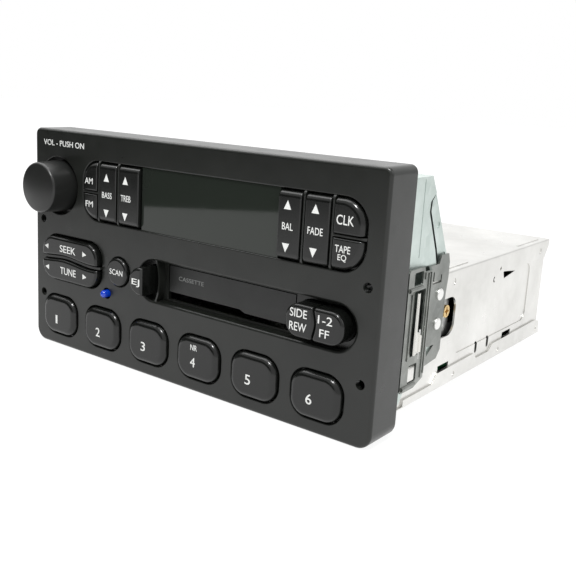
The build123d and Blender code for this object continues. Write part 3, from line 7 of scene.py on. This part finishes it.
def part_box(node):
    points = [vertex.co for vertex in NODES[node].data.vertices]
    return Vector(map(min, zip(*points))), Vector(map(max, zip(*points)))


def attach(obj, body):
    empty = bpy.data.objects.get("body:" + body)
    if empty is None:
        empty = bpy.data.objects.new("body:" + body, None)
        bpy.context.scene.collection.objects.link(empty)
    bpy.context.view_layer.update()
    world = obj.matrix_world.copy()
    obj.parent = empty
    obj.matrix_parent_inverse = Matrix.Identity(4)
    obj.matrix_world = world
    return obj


# The looks of a car radio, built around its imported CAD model, in metres.
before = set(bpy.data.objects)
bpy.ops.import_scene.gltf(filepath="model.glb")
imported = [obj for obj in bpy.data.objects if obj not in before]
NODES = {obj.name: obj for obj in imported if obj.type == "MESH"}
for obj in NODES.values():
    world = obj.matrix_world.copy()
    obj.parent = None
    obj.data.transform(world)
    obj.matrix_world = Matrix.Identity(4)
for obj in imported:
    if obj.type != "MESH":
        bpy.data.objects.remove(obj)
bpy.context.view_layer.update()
MM = 0.001
STUD_REACH = 0.198
FRONT_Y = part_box("rear_support_stud")[1].y - STUD_REACH


def point(x, depth, z):
    """A place given in millimetres, with depth behind the faceplate's front."""
    return Vector((x * MM, FRONT_Y + depth * MM, z * MM))


# ---------------------------------------------------------------- camera
CAMERA_AZIMUTH = math.radians(38.00)
CAMERA_ELEVATION = math.radians(12.61)
CAMERA_ROLL = math.radians(2.78)
CAMERA_LENS = 52.32
CAMERA_SHIFT = (0.0694, -0.0347)
CAMERA_PLACE = point(230.85, -249.8, 129.0)


def make_camera():
    data = bpy.data.cameras.new("camera")
    camera = bpy.data.objects.new("camera", data)
    bpy.context.scene.collection.objects.link(camera)
    azimuth, elevation = CAMERA_AZIMUTH, CAMERA_ELEVATION
    back = Vector((
        math.sin(azimuth) * math.cos(elevation),
        -math.cos(azimuth) * math.cos(elevation),
        math.sin(elevation),
    ))
    side = (-back).cross(Vector((0, 0, 1))).normalized()
    up = side.cross(-back)
    cos_roll, sin_roll = math.cos(CAMERA_ROLL), math.sin(CAMERA_ROLL)
    right = side * cos_roll + up * sin_roll
    top = up * cos_roll - side * sin_roll
    turn = Matrix((right, top, back)).transposed().to_4x4()
    camera.matrix_world = Matrix.Translation(CAMERA_PLACE) @ turn
    data.lens = CAMERA_LENS
    data.sensor_width = 36
    data.shift_x, data.shift_y = CAMERA_SHIFT
    data.clip_start = 0.01
    data.clip_end = 100
    bpy.context.scene.camera = camera


# ---------------------------------------------------------------- node helpers
class Shader:
    """A material being made: its tree, its Principled node and short ways to wire them."""

    def __init__(self, name):
        self.material = bpy.data.materials.new(name)
        self.material.use_nodes = True
        self.tree = self.material.node_tree
        self.principled = self.tree.nodes["Principled BSDF"]
        self.coordinates = self.tree.nodes.new("ShaderNodeTexCoord").outputs["Object"]

    def node(self, kind, **settings):
        made = self.tree.nodes.new(kind)
        for key, value in settings.items():
            setattr(made, key, value)
        return made

    def link(self, out, into):
        self.tree.links.new(out, into)

    def set(self, **values):
        for key, value in values.items():
            self.principled.inputs[key.replace("_", " ")].default_value = value

    def stretched(self, scale):
        mapping = self.node("ShaderNodeMapping")
        mapping.inputs["Scale"].default_value = scale
        self.link(self.coordinates, mapping.inputs["Vector"])
        return mapping.outputs["Vector"]

    def noise(self, scale, detail=3.0, roughness=0.55, stretch=None):
        made = self.node("ShaderNodeTexNoise")
        made.inputs["Scale"].default_value = scale
        made.inputs["Detail"].default_value = detail
        made.inputs["Roughness"].default_value = roughness
        vector = self.stretched(stretch) if stretch else self.coordinates
        self.link(vector, made.inputs["Vector"])
        return made.outputs["Fac"]

    def cells(self, scale, feature="F1", output="Color"):
        made = self.node("ShaderNodeTexVoronoi", feature=feature)
        made.inputs["Scale"].default_value = scale
        self.link(self.coordinates, made.inputs["Vector"])
        return made.outputs[output]

    def remap(self, value, low, high, start=0.0, end=1.0):
        made = self.node("ShaderNodeMapRange")
        made.inputs["From Min"].default_value = start
        made.inputs["From Max"].default_value = end
        made.inputs["To Min"].default_value = low
        made.inputs["To Max"].default_value = high
        self.link(value, made.inputs["Value"])
        return made.outputs["Result"]

    def mix(self, factor, first, second, blend="MIX"):
        made = self.node("ShaderNodeMix", data_type="RGBA", blend_type=blend)
        for socket, value in ((0, factor), (6, first), (7, second)):
            if isinstance(value, bpy.types.NodeSocket):
                self.link(value, made.inputs[socket])
            elif socket == 0:
                made.inputs[socket].default_value = value
            else:
                made.inputs[socket].default_value = (*value, 1.0)
        return made.outputs[2]

    def colour(self, out):
        self.link(out, self.principled.inputs["Base Color"])

    def rough(self, out):
        self.link(out, self.principled.inputs["Roughness"])

    def bump(self, height, strength, distance):
        made = self.node("ShaderNodeBump")
        made.inputs["Strength"].default_value = strength
        made.inputs["Distance"].default_value = distance
        self.link(height, made.inputs["Height"])
        earlier = self.principled.inputs["Normal"].links
        if earlier:
            self.link(earlier[0].from_socket, made.inputs["Normal"])
        self.link(made.outputs["Normal"], self.principled.inputs["Normal"])


def moulded(name, dark, light, rough, grain, strength):
    """Moulded plastic: spark-eroded grain, faint cloudiness, and a polish that varies."""
    shader = Shader(name)
    cloud = shader.noise(38.0, 4.0)
    shader.colour(shader.mix(shader.remap(cloud, 0.0, 1.0, 0.3, 0.7), dark, light))
    wear = shader.noise(120.0, 5.0, 0.65)
    shader.rough(shader.remap(wear, rough[0], rough[1], 0.3, 0.7))
    shader.bump(shader.noise(grain, 2.0, 0.6), strength, 0.00002)
    return shader.material


def plated(name, dark, light, rough, spangle=0.0, brushed=None):
    """Plated sheet: soft clouds, small scratches, and optional spangle or rolling lines."""
    shader = Shader(name)
    tone = shader.remap(shader.noise(30.0, 5.0, 0.6), 0.0, 1.0, 0.3, 0.7)
    base = shader.mix(tone, dark, light)
    if spangle:
        flakes = shader.remap(shader.cells(260.0), 0.25, 0.75)
        base = shader.mix(spangle, base, flakes, "SOFT_LIGHT")
    shader.colour(base)
    marks = shader.noise(90.0, 6.0, 0.7)
    value = shader.remap(marks, rough[0], rough[1], 0.3, 0.7)
    shader.rough(value)
    if brushed:
        shader.bump(shader.noise(1.0, 3.0, 0.6, brushed), 0.12, 0.00002)
    scratch = shader.noise(1.0, 2.0, 0.5, (2600.0, 240.0, 300.0))
    shader.bump(shader.remap(scratch, 0.0, 1.0, 0.62, 0.72), 0.15, 0.00001)
    shader.set(Metallic=1.0)
    return shader.material


# ---------------------------------------------------------------- materials
FACE = moulded(
    "face_plastic",
    (0.0072, 0.0082, 0.0068), (0.0094, 0.0106, 0.0088),
    (0.27, 0.35), 5200.0, 0.3,
)
KEY = moulded(
    "key_plastic_black",
    (0.0040, 0.0045, 0.0040), (0.0055, 0.0060, 0.0054),
    (0.18, 0.25), 6500.0, 0.14,
)
KNOB = moulded(
    "knob_plastic_black",
    (0.0095, 0.0100, 0.0095), (0.0125, 0.0130, 0.0122),
    (0.30, 0.38), 6500.0, 0.22,
)
DOOR = moulded(
    "door_plastic_black",
    (0.0078, 0.0084, 0.0078), (0.0100, 0.0106, 0.0100),
    (0.34, 0.42), 5600.0, 0.3,
)
INNER = moulded(
    "inner_plastic",
    (0.03, 0.03, 0.03), (0.045, 0.045, 0.044),
    (0.5, 0.62), 3000.0, 0.4,
)
NYLON = moulded(
    "natural_nylon",
    (0.55, 0.54, 0.48), (0.68, 0.67, 0.61),
    (0.42, 0.5), 2500.0, 0.25,
)
RUBBER = moulded(
    "belt_rubber_black",
    (0.012, 0.012, 0.012), (0.02, 0.02, 0.02),
    (0.6, 0.72), 4000.0, 0.4,
)
SOCKET = moulded(
    "socket_plastic_black",
    (0.02, 0.02, 0.02), (0.03, 0.03, 0.03),
    (0.42, 0.5), 4200.0, 0.35,
)

# The tin plate's wide light and dark clouds are partly real mottling and partly painted
# reflection of soft grey bands from the surroundings.
TIN = plated(
    "tin_plate",
    (0.63, 0.625, 0.60), (0.82, 0.815, 0.79),
    (0.26, 0.38), 0.06, (60.0, 1400.0, 1400.0),
)
ZINC = plated("zinc_plate", (0.47, 0.54, 0.51), (0.64, 0.71, 0.68), (0.30, 0.44), 0.4)
DECK = plated("deck_steel_plate", (0.48, 0.49, 0.48), (0.6, 0.61, 0.6), (0.3, 0.42), 0.2)
SPRING = plated("dark_spring_steel", (0.16, 0.17, 0.16), (0.34, 0.35, 0.33), (0.30, 0.5), 0.3)
BRIGHT = plated("bright_spring_steel", (0.6, 0.59, 0.55), (0.74, 0.73, 0.69), (0.22, 0.34))
RIVET = plated("rivet_aluminium", (0.78, 0.78, 0.76), (0.88, 0.88, 0.86), (0.34, 0.46))
YELLOW = plated("yellow_passivated", (0.62, 0.42, 0.16), (0.80, 0.60, 0.30), (0.24, 0.38))
NICKEL = plated("nickel_plate", (0.58, 0.56, 0.52), (0.68, 0.66, 0.62), (0.16, 0.28))
STEEL = plated("ground_steel", (0.5, 0.5, 0.5), (0.62, 0.62, 0.61), (0.2, 0.32))
BRASS = plated("turned_brass", (0.68, 0.5, 0.22), (0.8, 0.62, 0.3), (0.2, 0.32))
CAST = plated("cast_aluminium", (0.30, 0.30, 0.30), (0.42, 0.42, 0.42), (0.4, 0.58), 0.15)


def window_material():
    shader = Shader("smoked_window")
    cloud = shader.remap(shader.noise(25.0, 2.0), 0.0, 1.0, 0.3, 0.7)
    shader.colour(shader.mix(cloud, (0.0150, 0.0185, 0.0150), (0.0168, 0.0205, 0.0166)))
    shader.rough(shader.remap(shader.noise(300.0, 4.0, 0.7), 0.03, 0.055, 0.3, 0.7))
    shader.set(IOR=1.5, Specular_IOR_Level=0.45)
    return shader.material


def lamp_material():
    shader = Shader("blue_lamp")
    depth = shader.remap(shader.noise(900.0, 2.0), 0.0, 1.0, 0.3, 0.7)
    shader.colour(shader.mix(depth, (0.0, 0.03, 0.36), (0.004, 0.05, 0.50)))
    shader.rough(shader.remap(shader.noise(700.0, 3.0), 0.08, 0.16, 0.3, 0.7))
    shader.set(Emission_Color=(0.0, 0.06, 1.0, 1.0), Emission_Strength=0.06, Coat_Weight=0.6)
    return shader.material


def board_material(name, mask):
    shader = Shader(name)
    weave = shader.cells(900.0, "F1", "Distance")
    cloud = shader.remap(shader.noise(160.0, 5.0), 0.0, 1.0, 0.35, 0.65)
    lacquer = shader.mix(cloud, mask[0], mask[1])
    shader.colour(shader.mix(shader.remap(weave, 0.0, 0.25), lacquer, (0.02, 0.10, 0.05)))
    shader.rough(shader.remap(shader.noise(420.0), 0.25, 0.4, 0.3, 0.7))
    shader.bump(weave, 0.15, 0.00003)
    return shader.material


def component_material():
    """Mixed parts on the board: each cell of a coarse grid takes one tone."""
    shader = Shader("board_parts")
    tone = shader.cells(42.0, "F1", "Distance")
    dark = (0.02, 0.02, 0.022)
    light = (0.09, 0.095, 0.10)
    shader.colour(shader.mix(shader.remap(tone, 0.0, 1.0, 0.1, 0.7), dark, light))
    shader.rough(shader.remap(shader.noise(300.0), 0.3, 0.5, 0.3, 0.7))
    shader.bump(shader.noise(2600.0), 0.2, 0.00002)
    return shader.material


def print_material(name, thin_tone, full_tone):
    """Screen print, a little thin in places."""
    shader = Shader(name)
    thin = shader.remap(shader.noise(2600.0, 3.0, 0.6), 0.0, 1.0, 0.3, 0.6)
    shader.colour(shader.mix(thin, thin_tone, full_tone))
    shader.rough(shader.remap(shader.noise(1500.0), 0.45, 0.6, 0.3, 0.7))
    return shader.material


WINDOW = window_material()
LAMP = lamp_material()
BOARD = board_material("circuit_board_green", ((0.012, 0.085, 0.03), (0.02, 0.13, 0.05)))
PARTS = component_material()
PRINT = print_material("white_print", (0.62, 0.63, 0.61), (0.80, 0.81, 0.79))
FAINT_PRINT = print_material("grey_print", (0.16, 0.165, 0.16), (0.24, 0.245, 0.24))

FINISH = {
    FACE: ("faceplate",),
    KNOB: ("volume_knob",),
    DOOR: ("cassette_door",),
    WINDOW: ("display_window", "display_panel"),
    LAMP: ("indicator_lens",),
    INNER: ("key_guide", "key_switches"),
    NYLON: ("power_switch_plunger", "reel_supply", "reel_takeup"),
    RUBBER: ("drive_belt",),
    SOCKET: ("rear_sockets",),
    TIN: ("top_cover", "bottom_cover", "side_plates", "rear_panel"),
    ZINC: ("front_frame", "frame_rear_cover"),
    DECK: ("deck_frame", "cassette_carrier", "tape_head", "drive_motor"),
    SPRING: ("side_clips",),
    BRIGHT: ("latch_left", "latch_right"),
    RIVET: ("clip_rivets",),
    YELLOW: ("screws",),
    NICKEL: ("antenna_socket", "rear_support_stud", "volume_control"),
    STEEL: ("hinge_pins", "volume_shaft", "flywheel_front", "flywheel_rear"),
    BRASS: ("motor_pulley",),
    CAST: ("heat_sink",),
    BOARD: ("front_circuit_board", "main_circuit_board"),
    PARTS: ("board_components",),
}


def dress(name, material):
    mesh = NODES[name].data
    mesh.materials.clear()
    mesh.materials.append(material)


def dress_all():
    for material, names in FINISH.items():
        for name in names:
            dress(name, material)
    for name in NODES:
        if name.startswith(("button_", "preset_", "rocker_")):
            dress(name, KEY)


# ---------------------------------------------------------------- legends
PRINT_THICKNESS = 0.05
DOOR_FRONT = 4.4
KEY_DEPTH = {
    "upper": -1.5,
    "preset": -2.0,
    "cluster": -3.0,
    "scan": -1.8,
    "eject": -7.2,
    "deck": -5.0,
}
TONE_LEGENDS = {
    "bass": ("BASS", -43.6, 6.2, (84.6, 76.9, 68.8)),
    "treble": ("TREB", -31.7, 6.0, (84.6, 76.9, 68.8)),
    "balance": ("BAL", 54.3, 4.9, (85.3, 77.3, 69.2)),
    "fade": ("FADE", 66.6, 6.6, (85.4, 77.3, 69.3)),
}
PRESET_COUNT = 6
PRESET_X = -76.4
PRESET_PITCH = 29.45
NOISE_PRESET = 4


def lettering(text, x, z, width, height):
    """Vertices and faces of a flat word of that size, centred at x, z, in millimetres."""
    curve = bpy.data.curves.new("word", "FONT")
    curve.body = text
    curve.size = 1.0
    curve.resolution_u = 4
    curve.offset = 0.004
    made = bpy.data.objects.new("word", curve)
    bpy.context.scene.collection.objects.link(made)
    bpy.context.view_layer.update()
    mesh = bpy.data.meshes.new_from_object(made)
    xs = [v.co.x for v in mesh.vertices]
    ys = [v.co.y for v in mesh.vertices]
    across, along = max(xs) - min(xs), max(ys) - min(ys)
    left = x - width / 2
    bottom = z - height / 2
    flat = [
        (left + (a - min(xs)) / across * width, bottom + (b - min(ys)) / along * height)
        for a, b in zip(xs, ys)
    ]
    faces = [tuple(p.vertices) for p in mesh.polygons]
    bpy.data.objects.remove(made)
    bpy.data.curves.remove(curve)
    bpy.data.meshes.remove(mesh)
    return flat, faces


def triangle(x, z, width, height, way):
    """An arrow head that points up, down, left or right."""
    w, h = width / 2, height / 2
    shape = {
        "up": ((-w, -h), (w, -h), (0, h)),
        "down": ((-w, h), (0, -h), (w, h)),
        "left": ((w, h), (-w, 0), (w, -h)),
        "right": ((-w, -h), (w, 0), (-w, h)),
    }[way]
    return [(x + a, z + b) for a, b in shape], [(0, 1, 2)]


def legend(name, body, depth, marks, ink=PRINT):
    """One printed piece: flat marks on a surface, thickened to a film of ink."""
    points, faces = [], []
    near = depth - PRINT_THICKNESS
    far = depth + PRINT_THICKNESS
    for flat, shapes in marks:
        start = len(points)
        count = len(flat)
        points += [point(a, near, b) for a, b in flat]
        points += [point(a, far, b) for a, b in flat]
        edges = {}
        for shape in shapes:
            faces.append([start + i for i in shape])
            faces.append([start + count + i for i in reversed(shape)])
            for i, j in zip(shape, shape[1:] + shape[:1]):
                edges[(i, j)] = True
        for i, j in edges:
            if (j, i) not in edges:
                faces.append([start + j, start + i, start + count + i, start + count + j])
    mesh = bpy.data.meshes.new(name)
    mesh.from_pydata([tuple(p) for p in points], [], faces)
    mesh.materials.append(ink)
    mesh.validate()
    made = bpy.data.objects.new(name, mesh)
    bpy.context.scene.collection.objects.link(made)
    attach(made, body)


def key_legend(name, body, kind, marks):
    legend(f"legend_{name}", body, KEY_DEPTH[kind], marks)


def upper_legends():
    key_legend("am", "am_key", "upper", [lettering("AM", -55.5, 82.1, 5.2, 2.7)])
    key_legend("fm", "fm_key", "upper", [lettering("FM", -55.1, 71.8, 4.8, 2.7)])
    for name, (word, x, width, heights) in TONE_LEGENDS.items():
        top, middle, bottom = heights
        key_legend(name, f"{name}_rocker", "upper", [
            triangle(x - 0.4, top, 3.3, 3.4, "up"),
            lettering(word, x, middle, width, 2.7),
            triangle(x - 0.4, bottom, 3.3, 3.4, "down"),
        ])
    key_legend("clock", "clock_key", "upper", [lettering("CLK", 78.9, 83.0, 7.2, 3.5)])
    key_legend("tape", "tape_key", "upper", [
        lettering("TAPE", 78.6, 72.6, 6.4, 2.6),
        lettering("EQ", 78.6, 69.4, 3.6, 2.6),
    ])


def lower_legends():
    key_legend("seek", "seek_rocker", "cluster", [
        triangle(-83.4, 48.4, 2.6, 2.4, "left"),
        lettering("SEEK", -68.3, 48.6, 11.0, 3.3),
        triangle(-56.6, 48.3, 2.6, 2.4, "right"),
    ])
    key_legend("tune", "tune_rocker", "cluster", [
        triangle(-83.0, 38.4, 2.6, 2.4, "left"),
        lettering("TUNE", -68.0, 38.2, 11.0, 3.3),
        triangle(-56.4, 37.9, 2.6, 2.4, "right"),
    ])
    key_legend("scan", "scan_key", "scan", [lettering("SCAN", -36.8, 43.5, 8.2, 2.5)])
    key_legend("eject", "eject_key", "eject", [lettering("EJ", -18.9, 43.0, 4.6, 3.4)])
    key_legend("rewind", "rewind_key", "deck", [
        lettering("SIDE", 64.0, 46.9, 7.6, 3.2),
        lettering("REW", 64.0, 41.7, 7.6, 3.2),
    ])
    key_legend("fast_forward", "fast_forward_key", "deck", [
        lettering("1-2", 75.7, 46.5, 6.2, 3.1),
        lettering("FF", 75.7, 41.5, 4.2, 3.0),
    ])


def preset_legends():
    """A digit on each preset; its place drifts a little from key to key."""
    for i in range(PRESET_COUNT):
        number = i + 1
        x = PRESET_X + PRESET_PITCH * i
        width = 1.3 if number == 1 else 2.7
        marks = [lettering(str(number), x - 1.1 - 0.17 * i, 13.2 + 0.15 * i, width, 4.1)]
        if number == NOISE_PRESET:
            marks.append(lettering("NR", x - 1.2, 20.0, 3.6, 2.4))
        key_legend(f"preset_{number}", f"preset_{number}_key", "preset", marks)


def face_legends():
    power = [lettering("VOL - PUSH ON", -74.7, 96.8, 28.2, 2.6)]
    legend("legend_volume", "chassis", 0.0, power)
    cassette = [lettering("CASSETTE", 2.4, 45.8, 14.0, 1.8)]
    legend("legend_door", "door", DOOR_FRONT, cassette, FAINT_PRINT)


# ---------------------------------------------------------------- stage and lights
def stage_material(name, colour, rough, glow=0.0):
    """Plain studio surface, which may glow a little so that it stays evenly pale."""
    shader = Shader(name)
    tone = shader.remap(shader.noise(3.0, 2.0), 0.0, 1.0, 0.3, 0.7)
    shader.colour(shader.mix(tone, colour, [c * 0.99 for c in colour]))
    shader.set(Roughness=rough, Specular_IOR_Level=0.2)
    shader.set(Emission_Color=(1.0, 1.0, 1.0, 1.0), Emission_Strength=glow)
    return shader.material


def card(name, centre, toward, width, height, material):
    """A flat card that faces a point."""
    mesh = bpy.data.meshes.new(name)
    w, h = width / 2, height / 2
    mesh.from_pydata([(-w, -h, 0), (w, -h, 0), (w, h, 0), (-w, h, 0)], [], [(0, 1, 2, 3)])
    mesh.materials.append(material)
    made = bpy.data.objects.new(name, mesh)
    bpy.context.scene.collection.objects.link(made)
    made.location = centre
    made.rotation_mode = "QUATERNION"
    made.rotation_quaternion = (Vector(toward) - Vector(centre)).to_track_quat("Z", "Y")
    return made


def softbox(name, place, toward, size, power):
    data = bpy.data.lights.new(name, "AREA")
    data.shape = "RECTANGLE"
    data.size, data.size_y = size
    data.energy = power
    made = bpy.data.objects.new(name, data)
    bpy.context.scene.collection.objects.link(made)
    made.location = place
    made.rotation_mode = "QUATERNION"
    made.rotation_quaternion = (Vector(toward) - Vector(place)).to_track_quat("-Z", "Y")


def make_world(camera_level, light_level):
    world = bpy.data.worlds.new("studio")
    bpy.context.scene.world = world
    world.use_nodes = True
    tree = world.node_tree
    background = tree.nodes["Background"]
    background.inputs["Color"].default_value = (1.0, 1.0, 1.0, 1.0)
    path = tree.nodes.new("ShaderNodeLightPath")
    level = tree.nodes.new("ShaderNodeMapRange")
    level.inputs["To Min"].default_value = light_level
    level.inputs["To Max"].default_value = camera_level
    tree.links.new(path.outputs["Is Camera Ray"], level.inputs["Value"])
    tree.links.new(level.outputs["Result"], background.inputs["Strength"])


AIM = (0, -0.05, 0.05)
FLOOR_SIZE = 6.0
WORLD_SEEN = 1.0
WORLD_LIGHT = 0.7
# Place, size and power of each light
LIGHTS = {
    "top_light": ((-0.35, 0.1, 1.0), (1.2, 1.0), 11.0),
    "right_light": ((0.8, 0.1, 0.6), (0.4, 0.5), 1.2),
    "edge_light": ((0.26, -0.42, 0.86), (0.14, 0.14), 5.5),
}
BACKDROP_PLACE = (-0.9, 1.4, 0.45)
BACKDROP_SIZE = (4.0, 1.6)
FLAG_PLACE = (-0.316, -0.48, 0.16)
FLAG_TOWARD = (0.01, -0.09, FLAG_PLACE[2])
FLAG_SIZE = (1.6, 2 * FLAG_PLACE[2])


def reflected_only(thing):
    for rays in ("camera", "diffuse", "shadow", "transmission", "volume_scatter"):
        setattr(thing, "visible_" + rays, False)


def make_stage():
    pale = stage_material("pale_floor", (0.14, 0.14, 0.14), 0.8, 0.9)
    floor = card("floor", (0, 0, 0), (0, 0, 1), FLOOR_SIZE, FLOOR_SIZE, pale)
    floor.rotation_quaternion = (1, 0, 0, 0)
    make_world(WORLD_SEEN, WORLD_LIGHT)
    for name, (place, size, power) in LIGHTS.items():
        softbox(name, place, AIM, size, power)
    white = stage_material("backdrop_white", (0.02, 0.02, 0.02), 0.9, 1.1)
    reflected_only(card("backdrop", BACKDROP_PLACE, AIM, *BACKDROP_SIZE, white))
    black = stage_material("flag_black", (0.02, 0.02, 0.02), 0.9)
    reflected_only(card("flag", FLAG_PLACE, FLAG_TOWARD, *FLAG_SIZE, black))


make_camera()
dress_all()
upper_legends()
lower_legends()
preset_legends()
face_legends()
make_stage()
bpy.context.scene.view_settings.view_transform = "Standard"
